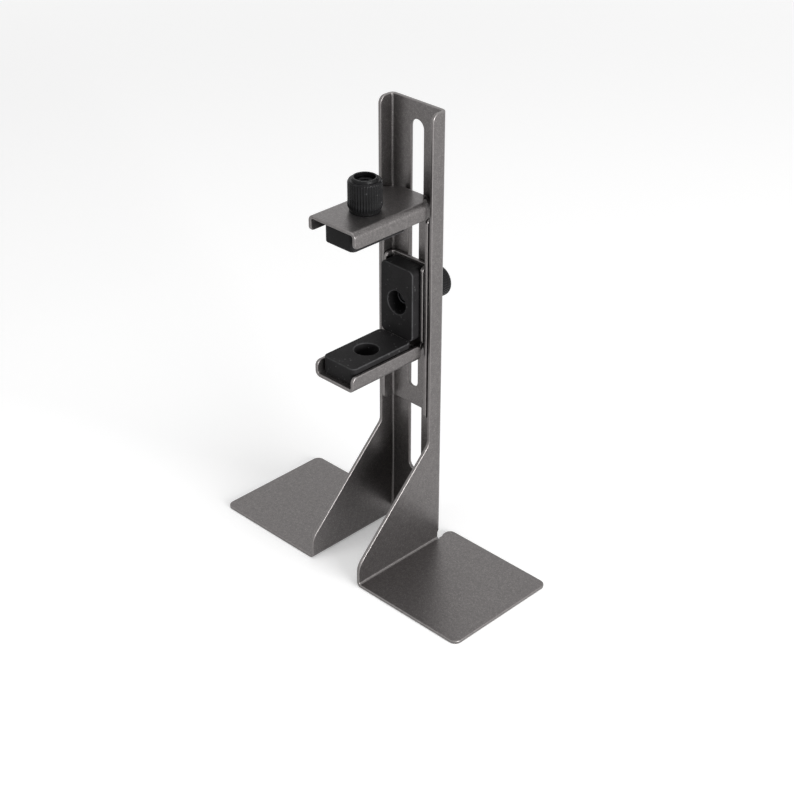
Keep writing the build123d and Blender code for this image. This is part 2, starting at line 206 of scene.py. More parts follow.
class CoatSettings(bpy.types.PropertyGroup):
    """The textured powder coat on the folded sheets"""

    colour: FloatVectorProperty(
        name="Coat colour", description="Grey of the powder coat",
        subtype="COLOR", size=3, min=0.0, max=1.0, default=(0.135, 0.127, 0.1255),
    )
    roughness: FloatProperty(
        name="Coat roughness", description="How matt the coat is",
        subtype="FACTOR", min=0.0, max=1.0, default=0.34,
    )
    fleck_size: FloatProperty(
        name="Fleck size", description="Width of one bright fleck in the coat",
        subtype="DISTANCE", unit="LENGTH", min=0.0001, default=0.0003,
    )
    edge_radius: FloatProperty(
        name="Edge rounding", description="Rounding of the sheet's cut edges under the coat",
        subtype="DISTANCE", unit="LENGTH", min=0.00005, default=0.00038,
    )


class RubberSettings(bpy.types.PropertyGroup):
    """The soft black pads"""

    colour: FloatVectorProperty(
        name="Rubber colour", description="Colour of the pads",
        subtype="COLOR", size=3, min=0.0, max=1.0, default=(0.0115, 0.011, 0.0115),
    )
    edge_radius: FloatProperty(
        name="Pad edge rounding", description="Rounding of the pads' edges",
        subtype="DISTANCE", unit="LENGTH", min=0.0001, default=0.0005,
    )


class KnobSettings(bpy.types.PropertyGroup):
    """The ribbed thumb screws"""

    colour: FloatVectorProperty(
        name="Knob colour", description="Colour of the moulded knobs",
        subtype="COLOR", size=3, min=0.0, max=1.0, default=(0.0066, 0.0066, 0.007),
    )
    ribs: IntProperty(
        name="Ribs", description="Number of ribs round a knob",
        min=8, max=120, default=38,
    )
    rib_depth: FloatProperty(
        name="Rib depth", description="How deep the grooves between the ribs are",
        subtype="DISTANCE", unit="LENGTH", min=0.0, default=0.0003,
    )
    thread_pitch: FloatProperty(
        name="Thread pitch", description="Rise of the screw thread in one turn",
        subtype="DISTANCE", unit="LENGTH", min=0.0002, default=0.0008,
    )
    thread_depth: FloatProperty(
        name="Thread depth", description="Depth of the screw thread",
        subtype="DISTANCE", unit="LENGTH", min=0.0, default=0.0004,
    )


class StudioSettings(bpy.types.PropertyGroup):
    """Floor and lamps"""

    key_power: FloatProperty(
        name="Side lamp", description="Power of the large lamp on the right",
        unit="POWER", min=0.0, default=46.0,
    )
    top_power: FloatProperty(
        name="Top lamp", description="Power of the large lamp overhead",
        unit="POWER", min=0.0, default=10.0,
    )
    back_power: FloatProperty(
        name="Back lamp", description="Power of the large lamp at the back left",
        unit="POWER", min=0.0, default=0.8,
    )
    front_power: FloatProperty(
        name="Front lamp", description="Power of the lamp at the front left",
        unit="POWER", min=0.0, default=2.2,
    )
    floor_white: FloatProperty(
        name="Floor white", description="How much whiter than its light the floor looks",
        min=0.0, max=1.0, default=0.29,
    )
    sky: FloatProperty(
        name="Room light", description="Brightness of the plain white room",
        min=0.0, default=0.25,
    )


# -------- outlines and shapes


def rounded(corners, closed=True, step=math.radians(11)):
    """Points of an outline whose corners, given as (x, y, radius), are rounded with arcs."""
    points = []
    count = len(corners)
    for number, (x, y, radius) in enumerate(corners):
        here = Vector((x, y))
        at_end = not closed and number in (0, count - 1)
        if radius <= 0 or at_end:
            points.append(here)
            continue
        before = (Vector(corners[number - 1][:2]) - here).normalized()
        after = (Vector(corners[(number + 1) % count][:2]) - here).normalized()
        opening = math.acos(max(-1.0, min(1.0, before.dot(after))))
        turn = math.pi - opening
        if turn < 0.001:
            points.append(here)
            continue
        reach = radius * math.tan(turn / 2)
        middle = here + (before + after).normalized() * (radius / math.sin(opening / 2))
        first = here + before * reach - middle
        side = 1 if before.x * after.y - before.y * after.x < 0 else -1
        pieces = max(2, math.ceil(turn / step))
        for piece in range(pieces + 1):
            angle = side * turn * piece / pieces
            cos, sin = math.cos(angle), math.sin(angle)
            spoke = Vector((first.x * cos - first.y * sin, first.x * sin + first.y * cos))
            points.append(middle + spoke)
    return points


def arc(x, y, radius, angles):
    """Points on a circle at the given angles."""
    return [Vector((x + radius * math.cos(a), y + radius * math.sin(a))) for a in angles]


def circle(x, y, radius, count=48):
    """Points round a circle."""
    turn = 2 * math.pi / count
    return arc(x, y, radius, [i * turn for i in range(count)])


def upright_slot(width, low, high, count=12):
    """Points round a slot with round ends that stands on the line x = 0."""
    radius = width / 2
    over = [math.pi * i / count for i in range(count + 1)]
    under = [math.pi + angle for angle in over]
    return arc(0, high - radius, radius, over) + arc(0, low + radius, radius, under)


def area_of(points):
    """Signed area of an outline, positive when it runs anticlockwise."""
    total = 0.0
    for here, there in zip(points, points[1:] + points[:1]):
        total += here.x * there.y - there.x * here.y
    return total / 2


def inset(points, distance):
    """The outline moved to its left by a distance, each corner along its own bisector."""
    moved = []
    count = len(points)
    for number, here in enumerate(points):
        back = (here - points[number - 1]).normalized()
        ahead = (points[(number + 1) % count] - here).normalized()
        left = Vector((-back.y, back.x)) + Vector((-ahead.y, ahead.x))
        moved.append(here + left * (2 * distance / max(left.length_squared, 0.5)))
    return moved


def band(shape, low, high):
    """Joins two rings of points with a band of faces."""
    count = len(low)
    for i in range(count):
        j = (i + 1) % count
        shape.faces.new((low[i], low[j], high[j], high[i]))


def edges_round(shape, ring):
    """The edges along a ring of points."""
    return [shape.edges.get(pair) for pair in zip(ring, ring[1:] + ring[:1])]


def plate(outlines, thickness, edge, steps=3, floor=None, wall_highlight=0.0):
    """A flat plate with rounded edges; the first outline is its rim, the others are its holes.

    It lies in the XY plane, from height 0 to its thickness. With a floor, the holes are pockets
    down to that height. A layer of its points marks the rounding and, by a share, the outer wall,
    where the materials paint a highlight.
    """
    shape = bmesh.new()
    marks = shape.verts.layers.float.new(EDGE_LAYER)
    top = []
    for step in range(steps + 1):
        angle = math.pi / 2 * step / steps
        top.append((edge * (1 - math.cos(angle)), thickness - edge * (1 - math.sin(angle))))
    through = [(gap, thickness - height) for gap, height in reversed(top)] + top
    pocket = [(0.0, floor)] + top
    under, over = [], []
    for number, outline in enumerate(outlines):
        is_rim = number == 0
        points = list(outline)
        if (area_of(points) > 0) != is_rim:
            points.reverse()
        sunk = floor is not None and not is_rim
        rings = []
        for gap, height in pocket if sunk else through:
            ring = [shape.verts.new((p.x, p.y, height)) for p in inset(points, gap)]
            # The mark sets the painted edge highlight: full on the rounding, the wall's share on
            # the rim's outer wall, none elsewhere
            mark = 1.0
            if gap < 0.01 * edge:
                mark = wall_highlight if is_rim else 0.0
            elif gap > 0.99 * edge:
                mark = 0.0
            for vert in ring:
                vert[marks] = mark
            rings.append(ring)
        for low, high in zip(rings, rings[1:]):
            band(shape, low, high)
        if sunk:
            shape.faces.new(rings[0])
        else:
            under += edges_round(shape, rings[0])
        over += edges_round(shape, rings[-1])
    for cap in (under, over):
        bmesh.ops.triangle_fill(shape, edges=cap, use_beauty=True)
    bmesh.ops.recalc_face_normals(shape, faces=shape.faces)
    return shape


def cut_along(shape, axis, places):
    """Cuts a shape with planes across an axis, so that it can bend there."""
    normal = Vector((axis == 0, axis == 1, axis == 2))
    for place in places:
        bmesh.ops.bisect_plane(
            shape,
            geom=shape.verts[:] + shape.edges[:] + shape.faces[:],
            dist=1e-5,
            plane_co=normal * place,
            plane_no=normal,
        )


def bend_places(start, direction=1):
    """Where a bend is cut: from its start over its whole length."""
    return [start + direction * BEND_LENGTH * i / BEND_STEPS for i in range(BEND_STEPS + 1)]


def bent(ahead, radius):
    """Where a point goes that lies so far past a bend's start and so far from its centre.

    Returns how far it then is past the start, and how far on the near side of the centre.
    """
    if ahead <= 0:
        return ahead, radius
    if ahead < BEND_LENGTH:
        angle = math.pi / 2 * ahead / BEND_LENGTH
        return radius * math.sin(angle), radius * math.cos(angle)
    return radius, BEND_LENGTH - ahead


def fold_sides(point, start):
    """Folds both sides of a flat sheet up about lines at x = start and x = -start."""
    if abs(point.x) <= start:
        return point
    side = math.copysign(1, point.x)
    across, left = bent(abs(point.x) - start, BEND_OUTSIDE - point.z)
    return Vector((side * (start + across), point.y, BEND_OUTSIDE - left))


def lathe(profile, count, closed=False):
    """Turns a profile of (radius, height) points round the Z axis, as a ring or to a last pole."""
    shape = bmesh.new()
    rings = []
    for point in profile:
        if point.x < 1e-6:
            rings.append([shape.verts.new((0, 0, point.y))])
        else:
            around = circle(0, 0, point.x, count)
            rings.append([shape.verts.new((p.x, p.y, point.y)) for p in around])
    pairs = list(zip(rings, rings[1:]))
    if closed:
        pairs.append((rings[-1], rings[0]))
    for low, high in pairs:
        if len(high) > 1:
            band(shape, low, high)
            continue
        for here, there in zip(low, low[1:] + low[:1]):
            shape.faces.new((here, there, high[0]))
    bmesh.ops.recalc_face_normals(shape, faces=shape.faces)
    return shape, rings


def spaced(points, longest):
    """The same line with its long straight stretches divided."""
    line = []
    for here, there in zip(points, points[1:]):
        pieces = max(1, math.ceil((there - here).length / longest))
        line += [here.lerp(there, i / pieces) for i in range(pieces)]
    return line + [points[-1]]


# -------- geometry nodes


class TreeMaker:
    """Adds and links nodes in one tree."""

    def __init__(self, tree):
        self.tree = tree

    def link(self, source, socket):
        """Links an output to an input."""
        self.tree.links.new(source, socket)

    def fill(self, socket, value):
        """Gives an input a link or a constant."""
        if isinstance(value, bpy.types.NodeSocket):
            self.link(value, socket)
        else:
            socket.default_value = value

    def put(self, kind, *values, **settings):
        """Adds a node; each value is a link or a constant for the inputs in their order."""
        made = self.tree.nodes.new(kind)
        for key, value in settings.items():
            setattr(made, key, value)
        for number, value in enumerate(values):
            self.fill(made.inputs[number], value)
        return made

    def math(self, operation, *values):
        """Adds a maths node and returns its result."""
        return self.put("ShaderNodeMath", *values, operation=operation).outputs[0]

    def times(self, first, second):
        """The product of two values."""
        return self.math("MULTIPLY", first, second)

    def rest(self, value):
        """What a value leaves of 1."""
        return self.math("SUBTRACT", 1.0, value)


def ramp(maker, value, low, high, out_low=0.0, out_high=1.0):
    """Maps a value from one range to another, held at the ends."""
    return maker.put("ShaderNodeMapRange", value, low, high, out_low, out_high).outputs[0]


def ease(maker, value, low, high):
    """A smooth step of a value from 0 at low to 1 at high."""
    step = maker.put("ShaderNodeMapRange", value, low, high, interpolation_type="SMOOTHSTEP")
    return step.outputs[0]


def radial_tree(name, sizes):
    """A geometry tree that moves points in towards the Z axis, with the parts to finish it."""
    tree = bpy.data.node_groups.new(name, "GeometryNodeTree")
    sockets = [("Geometry", "Geometry")] + [(size, "Float") for size in sizes]
    for label, kind in sockets + [("Material", "Material")]:
        tree.interface.new_socket(label, in_out="INPUT", socket_type="NodeSocket" + kind)
    tree.interface.new_socket("Geometry", in_out="OUTPUT", socket_type="NodeSocketGeometry")
    maker = TreeMaker(tree)
    given = maker.put("NodeGroupInput").outputs
    place = maker.put("GeometryNodeInputPosition").outputs[0]
    x, y, height = maker.put("ShaderNodeSeparateXYZ", place).outputs
    angle = maker.math("ARCTAN2", y, x)
    flat = maker.put("ShaderNodeCombineXYZ", x, y, 0.0).outputs[0]
    radius = maker.put("ShaderNodeVectorMath", flat, operation="LENGTH").outputs["Value"]
    outward = maker.put("ShaderNodeVectorMath", flat, operation="NORMALIZE").outputs[0]
    return maker, given, angle, radius, height, outward


def close_tree(maker, given, outward, depth):
    """Ends a radial tree: moves the points in by a depth, realises and paints the result."""
    inward = maker.times(depth, -1.0)
    offset = maker.put("ShaderNodeVectorMath", outward, operation="SCALE")
    maker.link(inward, offset.inputs["Scale"])
    move = maker.put("GeometryNodeSetPosition", given["Geometry"])
    maker.link(offset.outputs[0], move.inputs["Offset"])
    real = maker.put("GeometryNodeRealizeInstances", move.outputs[0])
    paint = maker.put("GeometryNodeSetMaterial", real.outputs[0])
    maker.link(given["Material"], paint.inputs["Material"])
    maker.put("NodeGroupOutput", paint.outputs[0])
    return maker.tree


def between_heights(maker, given, height, fade):
    """1 between the heights Low and High, fading to 0 over a length inside both."""
    from_low = ease(maker, height, given["Low"], maker.math("ADD", given["Low"], fade))
    to_high = ease(maker, height, maker.math("SUBTRACT", given["High"], fade), given["High"])
    return maker.times(from_low, maker.rest(to_high))


def rib_tree():
    """Grooves round a knob, between two heights, outside a radius."""
    maker, given, angle, radius, height, outward = radial_tree(
        "Knob ribs", ("Ribs", "Depth", "Low", "High", "Fade", "Inner radius")
    )
    wave = maker.math("COSINE", maker.times(angle, given["Ribs"]))
    groove = maker.rest(ease(maker, wave, -0.75, 0.35))
    zone = between_heights(maker, given, height, given["Fade"])
    outside = maker.math("GREATER_THAN", radius, given["Inner radius"])
    cut = maker.times(groove, given["Depth"])
    depth = maker.times(cut, maker.times(zone, outside))
    return close_tree(maker, given, outward, depth)


def thread_tree():
    """A screw thread cut into a round bar between two heights, within a band of radii."""
    maker, given, angle, radius, height, outward = radial_tree(
        "Screw thread", ("Pitch", "Depth", "Low", "High", "Inner radius", "Outer radius")
    )
    turns = maker.math("DIVIDE", height, given["Pitch"])
    share = maker.math("DIVIDE", angle, 2 * math.pi)
    phase = maker.math("FRACT", maker.math("SUBTRACT", turns, share))
    ridge = maker.math("SUBTRACT", maker.times(phase, 2.0), 1.0)
    groove = ease(maker, maker.math("ABSOLUTE", ridge), 0.1, 0.9)
    outside = maker.math("GREATER_THAN", radius, given["Inner radius"])
    inside = maker.math("LESS_THAN", radius, given["Outer radius"])
    zone = between_heights(maker, given, height, given["Pitch"])
    zone = maker.times(zone, maker.times(outside, inside))
    cut = maker.times(groove, given["Depth"])
    return close_tree(maker, given, outward, maker.times(cut, zone))


def run_tree(item, tree, material, sizes):
    """Runs a geometry tree on a piece and keeps its result as the piece's plain mesh."""
    modifier = item.modifiers.new(tree.name, "NODES")
    modifier.node_group = tree
    sockets = {s.name: s.identifier for s in tree.interface.items_tree if s.in_out == "INPUT"}
    for name, value in sizes.items():
        modifier[sockets[name]] = float(value)
    modifier[sockets["Material"]] = material
    item.update_tag()
    bpy.context.view_layer.update()
    baked(item)


# -------- materials

# The Mix node's colour sockets, which share their names with others
MIX_FIRST = 6
MIX_SECOND = 7
MIX_RESULT = 2

BLACK_STEEL = (0.032, 0.032, 0.034)
PLATED_STEEL = (0.56, 0.56, 0.57)
# Grey of the painted highlight along the pads' edges
RUBBER_EDGE_HIGHLIGHT = (0.06, 0.06, 0.062)
RUBBER_DUST = (0.13, 0.13, 0.13)
KNOB_DUST = (0.12, 0.12, 0.12)


def new_material(name):
    """An empty material's tree maker, its one shader and its object coordinates."""
    made = bpy.data.materials.new(name)
    made.use_nodes = True
    made.node_tree.nodes.clear()
    maker = TreeMaker(made.node_tree)
    shader = maker.put("ShaderNodeBsdfPrincipled")
    maker.put("ShaderNodeOutputMaterial", shader.outputs[0])
    place = maker.put("ShaderNodeTexCoord").outputs["Object"]
    return maker, shader, place


def noise(maker, place, scale, detail):
    """A noise value of a given scale per metre."""
    texture = maker.put("ShaderNodeTexNoise")
    maker.link(place, texture.inputs["Vector"])
    texture.inputs["Scale"].default_value = scale
    texture.inputs["Detail"].default_value = detail
    return texture.outputs[0]


def specks(maker, place, scale, start, most):
    """How far a point is in a speck: a small cell whose random value is over a start."""
    texture = maker.put("ShaderNodeTexVoronoi")
    maker.link(place, texture.inputs["Vector"])
    texture.inputs["Scale"].default_value = scale
    value = maker.put("ShaderNodeSeparateColor", texture.outputs["Color"]).outputs[0]
    return ramp(maker, value, start, 1.0, 0.0, most)


def shade(colour, factor=1.0):
    """A colour made lighter or darker, as a socket wants it."""
    return (*(min(1.0, part * factor) for part in colour), 1.0)


def blend_colours(maker, share, first, second):
    """Mixes two colours by a share; the first may be a link."""
    mix = maker.put("ShaderNodeMix", data_type="RGBA")
    maker.link(share, mix.inputs["Factor"])
    maker.fill(mix.inputs[MIX_FIRST], first)
    maker.fill(mix.inputs[MIX_SECOND], second)
    return mix.outputs[MIX_RESULT]


def patchy(maker, place, colour, darkest, lightest, scale, detail=3.0):
    """A colour in soft patches, between a darker and a lighter shade of it."""
    share = ramp(maker, noise(maker, place, scale, detail), 0.35, 0.65)
    return blend_colours(maker, share, shade(colour, darkest), shade(colour, lightest))


def painted_edge_highlight(maker, place, most):
    """How much painted highlight a point gets on a rounded edge, broken up a little, up to a given
    share.
    """
    mark = maker.put("ShaderNodeAttribute", attribute_name=EDGE_LAYER).outputs["Fac"]
    uneven = ramp(maker, noise(maker, place, 600.0, 2.0), 0.3, 0.6, 0.55, 1.0)
    return maker.times(maker.times(mark, uneven), most)


def surface(maker, shader, place, colour, grain, rough, relief, detail=3.0):
    """Gives a shader its colour and a fine grain, in its roughness and as a relief.

    The grain is a scale per metre, and the relief is a height in metres and a strength.
    """
    maker.link(colour, shader.inputs["Base Color"])
    grain = noise(maker, place, grain, detail)
    maker.link(ramp(maker, grain, 0.3, 0.7, *rough), shader.inputs["Roughness"])
    bump = maker.put("ShaderNodeBump")
    bump.inputs["Distance"].default_value, bump.inputs["Strength"].default_value = relief
    maker.link(grain, bump.inputs["Height"])
    maker.link(bump.outputs[0], shader.inputs["Normal"])


def powder_coat(maker, shader, place):
    """Dark grey textured coat with fine bright flecks, and a painted highlight along its rounded
    edges.
    """
    coat = bpy.context.scene.bracket_coat
    ground = patchy(maker, place, coat.colour, 0.9, 1.06, 700.0)
    flecks = specks(maker, place, 1 / coat.fleck_size, start=0.7, most=0.5)
    flecked = blend_colours(maker, flecks, ground, shade(coat.colour, 2.0))
    # Painted highlight: the rounded edges are lightened towards a brighter grey of the coat
    edges = painted_edge_highlight(maker, place, most=0.75)
    edge_highlighted = blend_colours(maker, edges, flecked, shade(coat.colour, 1.75))
    rough = (coat.roughness - 0.05, coat.roughness + 0.07)
    surface(maker, shader, place, edge_highlighted, 1500.0, rough, (0.00006, 0.35))
    shader.inputs["Metallic"].default_value = 0.9


def pad_rubber(maker, shader, place):
    """Matt black rubber with a fine grain, a little pale dust and a painted highlight along its
    edges.
    """
    ground = patchy(maker, place, bpy.context.scene.bracket_rubber.colour, 0.85, 1.2, 130.0)
    dust = specks(maker, place, 1800.0, start=0.985, most=0.5)
    dusty = blend_colours(maker, dust, ground, shade(RUBBER_DUST))
    # Painted highlight: the pads' rounded edges are lightened towards a grey
    edges = painted_edge_highlight(maker, place, most=0.8)
    edge_highlighted = blend_colours(maker, edges, dusty, shade(RUBBER_EDGE_HIGHLIGHT))
    surface(maker, shader, place, edge_highlighted, 2200.0, (0.5, 0.7), (0.00008, 0.3), detail=4.0)
    shader.inputs["Specular IOR Level"].default_value = 0.1


def knob_plastic(maker, shader, place):
    """Moulded black plastic with a faint sheen and a little dust."""
    colour = bpy.context.scene.bracket_knob.colour
    ground = patchy(maker, place, colour, 0.9, 1.2, 220.0, detail=2.0)
    dust = specks(maker, place, 1700.0, start=0.994, most=0.6)
    dusty = blend_colours(maker, dust, ground, shade(KNOB_DUST))
    surface(maker, shader, place, dusty, 1800.0, (0.18, 0.28), (0.00004, 0.15))
    shader.inputs["Specular IOR Level"].default_value = 0.13


def steel(maker, shader, place, colour, rough):
    """Bare turned steel with a slightly uneven finish."""
    ground = patchy(maker, place, colour, 0.85, 1.15, 300.0)
    surface(maker, shader, place, ground, 1200.0, rough, (0.00003, 0.1))
    shader.inputs["Metallic"].default_value = 1.0


def black_steel(maker, shader, place):
    """The blackened steel of bolts and press nuts."""
    steel(maker, shader, place, BLACK_STEEL, (0.38, 0.52))


def plated_steel(maker, shader, place):
    """The plated steel of the disc at the clamp screw's tip."""
    steel(maker, shader, place, PLATED_STEEL, (0.2, 0.35))


FINISHES = {
    "powder_coat": ("Powder coat", powder_coat),
    "pad_rubber": ("Pad rubber", pad_rubber),
    "knob_plastic": ("Knob plastic", knob_plastic),
    "black_steel": ("Black steel", black_steel),
    "plated_steel": ("Plated steel", plated_steel),
}


def finish(slot):
    """The material of a slot, made the first time that it is asked for."""
    name, build = FINISHES[slot]
    if name not in bpy.data.materials:
        build(*new_material(name))
    return bpy.data.materials[name]


# -------- from shape to piece


def linked(name, data):
    """A new object in the scene for a mesh, a lamp or the camera."""
    item = bpy.data.objects.new(name, data)
    bpy.context.scene.collection.objects.link(item)
    return item


def to_object(shape, name, place=Matrix.Identity(4)):
    """Makes an object in metres from a shape in millimetres, put in its place."""
    bmesh.ops.remove_doubles(shape, verts=shape.verts, dist=1e-4)
    shape.transform(Matrix.Scale(MM, 4) @ place)
    mesh = bpy.data.meshes.new(name)
    shape.to_mesh(mesh)
    shape.free()
    return linked(name, mesh)


def placed(y, z, degrees=0.0):
    """A placement on the middle plane, turned about X."""
    return Matrix.Translation((0, y, z)) @ Matrix.Rotation(math.radians(degrees), 4, "X")


def baked(item):
    """Turns a piece's modifiers into its plain mesh."""
    graph = bpy.context.evaluated_depsgraph_get()
    graph.update()
    mesh = bpy.data.meshes.new_from_object(
        item.evaluated_get(graph), preserve_all_data_layers=True, depsgraph=graph
    )
    item.modifiers.clear()
    item.data = mesh
    mesh.name = item.name


def smoothed(item):
    """Shades a piece smoothly, with flat faces kept flat by weighting the normals by area."""
    item.data.shade_smooth()
    weigh = item.modifiers.new("Even shading", "WEIGHTED_NORMAL")
    weigh.mode = "FACE_AREA"
    weigh.weight = 100
    weigh.keep_sharp = False
    baked(item)


def finish_piece(item, node, body, slot):
    """Smooths a piece, gives it its finish, and puts it in its CAD node's place."""
    smoothed(item)
    item.data.materials.clear()
    item.data.materials.append(finish(slot))
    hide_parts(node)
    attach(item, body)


# -------- folded sheets


def flat_sheet(corners, holes):
    """A flat sheet from the corners of its right half, its back face at height 0."""
    edge = bpy.context.scene.bracket_coat.edge_radius / MM
    left = [(-x, y, radius) for x, y, radius in reversed(corners)]
    return plate([rounded(corners + left), *holes], SHEET, edge, wall_highlight=CUT_WALL_HIGHLIGHT)


def flat_reach(side, depth):
    """How far across the flat sheet a line on a folded side lies, from its depth when folded."""
    return side + BEND_LENGTH + depth - BEND_OUTSIDE


def fold_foot(point, side, foot_start):
    """Folds a point of the flat sheet below the column out along the foot."""
    sign = math.copysign(1, point.x)
    depth = abs(point.x) - side - BEND_LENGTH + BEND_OUTSIDE
    ahead = BEND_OUTSIDE - point.y
    radius = foot_start - (COLUMN_HALF - point.z)
    if depth < (RELIEF_BACK + RELIEF_FRONT) / 2:
        return Vector((sign * (foot_start + ahead - BEND_LENGTH), BEND_OUTSIDE - radius, depth))
    fallen, left = bent(ahead, radius)
    return Vector((sign * (foot_start - left), BEND_OUTSIDE - fallen, depth))


def stand_shape():
    """The slotted column, its gussets and feet, cut as one flat sheet and folded."""
    side = COLUMN_HALF - BEND_OUTSIDE
    foot_start = COLUMN_HALF + BEND_INSIDE
    reach = COLUMN_BACK - STAND_LOW.y

    def corner(depth, height, rounding):
        return flat_reach(side, depth), height, rounding

    def along_foot(out):
        return BEND_OUTSIDE - BEND_LENGTH - (out - foot_start)

    hollow_out = along_foot(COLUMN_HALF + HOLLOW_STEP)
    hollow_in = along_foot(COLUMN_HALF - HOLLOW_STEP)
    foot_end = along_foot(STAND_HIGH.x)
    right = [
        corner(RELIEF_FRONT, COLUMN_FOOT, CUT_ROUND),
        corner(RELIEF_FRONT, along_foot(foot_start), RELIEF_ROUND),
        corner(RELIEF_BACK, along_foot(foot_start), RELIEF_ROUND),
        corner(RELIEF_BACK, hollow_out, 0.1),
        corner(HOLLOW_FRONT, hollow_out, HOLLOW_ROUND),
        corner(HOLLOW_BACK, hollow_in, HOLLOW_ROUND),
        corner(FOOT_BACK, hollow_in, FOOT_REAR_CORNER),
        corner(FOOT_BACK, foot_end, FOOT_CORNER),
        corner(reach, foot_end, FOOT_CORNER),
        corner(reach, NOSE_HEIGHT, NOSE_ROUND),
        corner(COLUMN_DEPTH, NOSE_HEIGHT + reach - COLUMN_DEPTH, SLOPE_ROUND),
        corner(COLUMN_DEPTH, STAND_HIGH.z, COLUMN_CORNER),
    ]
    shape = flat_sheet(right, [upright_slot(*COLUMN_SLOT)])
    cut_along(shape, 0, bend_places(side) + bend_places(-side, -1))
    cut_along(shape, 1, bend_places(BEND_OUTSIDE, -1))
    for vert in shape.verts:
        if vert.co.y < FOOT_TOP:
            point = fold_foot(vert.co, side, foot_start)
        else:
            point = fold_sides(vert.co, side)
        vert.co = Vector((point.x, COLUMN_BACK - point.z, point.y))
    return shape


def bracket_outline(half, web, arm, waist, up):
    """The right half of a bracket's flat outline, from its free end to the arm's front.

    Web and arm are both given as (depth of the sides, end, where the sides stop at the waist,
    rounding at the end, rounding at the waist).
    """
    side = half - BEND_OUTSIDE
    notch = half - WAIST_STEP
    slope = up * (notch - waist)
    web_depth, web_end, web_stop, web_end_round, web_stop_round = web
    arm_depth, arm_end, arm_stop, arm_end_round, arm_stop_round = arm
    return [
        (flat_reach(side, web_depth), web_end, web_end_round),
        (flat_reach(side, web_depth), web_stop, web_stop_round),
        (notch, web_stop, CUT_ROUND),
        (waist, web_stop + slope, CUT_ROUND),
        (waist, arm_stop - slope, CUT_ROUND),
        (notch, arm_stop, CUT_ROUND),
        (flat_reach(side, arm_depth), arm_stop, arm_stop_round),
        (flat_reach(side, arm_depth), arm_end, arm_end_round),
    ]


def arm_line(back, bend, up, depth):
    """Height in a bracket's flat sheet of a line across its arm, from where it is when bent."""
    return bend + up * (BEND_LENGTH + back - BEND_OUTSIDE - depth)


def fold_bracket(shape, half, back, bend, up):
    """Folds a bracket's sides, bends its arm forwards at a height, and moves it to its back."""
    side = half - BEND_OUTSIDE
    cut_along(shape, 0, bend_places(side) + bend_places(-side, -1))
    cut_along(shape, 1, bend_places(bend, up))
    for vert in shape.verts:
        point = fold_sides(vert.co, side)
        ahead = up * (point.y - bend)
        if ahead > 0:
            risen, left = bent(ahead, BEND_OUTSIDE - point.z)
            point = Vector((point.x, bend + up * risen, BEND_OUTSIDE - left))
        vert.co = Vector((point.x, back - point.z, point.y))
    return shape


def upper_bracket_shape():
    """The upper channel with its arm."""
    half, back, top = UPPER_HIGH
    low = UPPER_LOW.z
    bend = top - BEND_OUTSIDE
    arm_end = arm_line(back, bend, 1, UPPER_LOW.y)
    arm_stop = arm_line(back, bend, 1, COLUMN_BACK - ARM_STOP)
    web = (UPPER_SIDE, low, top - UPPER_SIDE - SIDE_GAP, SIDE_CORNER, SIDE_CORNER)
    arm = (UPPER_SIDE, arm_end, arm_stop, SIDE_CORNER, SIDE_CORNER)
    right = bracket_outline(half, web, arm, UPPER_WAIST, 1)
    slot = upright_slot(UPPER_SLOT_WIDTH, low + UPPER_SLOT_FOOT, top - UPPER_SLOT_TOP)
    nut_hole = circle(0, arm_line(back, bend, 1, CLAMP_AXIS.y), SPIGOT_HOLE / 2)
    return fold_bracket(flat_sheet(right, [slot, nut_hole]), half, back, bend, 1)


def lower_bracket_shape():
    """The lower channel with its shelf, bent the other way up."""
    half, back, top = LOWER_HIGH
    low = LOWER_LOW.z
    bend = low + BEND_OUTSIDE
    web_side = LOWER_SIDE_FRONT - (COLUMN_BACK - back)
    shelf_end = arm_line(back, bend, -1, LOWER_LOW.y)
    shelf_stop = arm_line(back, bend, -1, COLUMN_BACK - SHELF_STOP)
    web = (web_side, top, low + SHELF_SIDE + SIDE_GAP, LOWER_TOP_CORNER, SIDE_CORNER)
    shelf = (SHELF_SIDE, shelf_end, shelf_stop, SHELF_CORNER, SHELF_CORNER)
    right = bracket_outline(half, web, shelf, LOWER_WAIST, -1)[::-1]
    nut_hole = circle(0, LOCK_AXIS.z, SPIGOT_HOLE / 2)
    return fold_bracket(flat_sheet(right, [nut_hole]), half, back, bend, -1)


class BRACKET_OT_stand(bpy.types.Operator):
    """Make the folded steel stand"""

    bl_idname = "bracket.stand"
    bl_label = "Stand"

    def execute(self, context):
        item = to_object(stand_shape(), "folded_stand")
        finish_piece(item, "stand", "stand", "powder_coat")
        return {"FINISHED"}


class BRACKET_OT_arms(bpy.types.Operator):
    """Make the two sliding brackets with their arms"""

    bl_idname = "bracket.arms"
    bl_label = "Sliding arms"

    def execute(self, context):
        upper = to_object(upper_bracket_shape(), "upper_arm_bracket")
        finish_piece(upper, "upper_bracket", "upper_bracket", "powder_coat")
        lower = to_object(lower_bracket_shape(), "lower_shelf_bracket")
        finish_piece(lower, "lower_bracket", "lower_bracket", "powder_coat")
        return {"FINISHED"}


# -------- pads


def pad_shape(low, high, hole, thickness, floor=None):
    """A flat pad between two corners, with a round hole or pocket on its middle line."""
    edge = bpy.context.scene.bracket_rubber.edge_radius / MM
    corners = ((low.x, low.y), (high.x, low.y), (high.x, high.y), (low.x, high.y))
    outline = rounded([(x, y, PAD_CORNER) for x, y in corners])
    return plate([outline, circle(0, hole, PAD_HOLE / 2, 64)], thickness, edge, 4, floor)


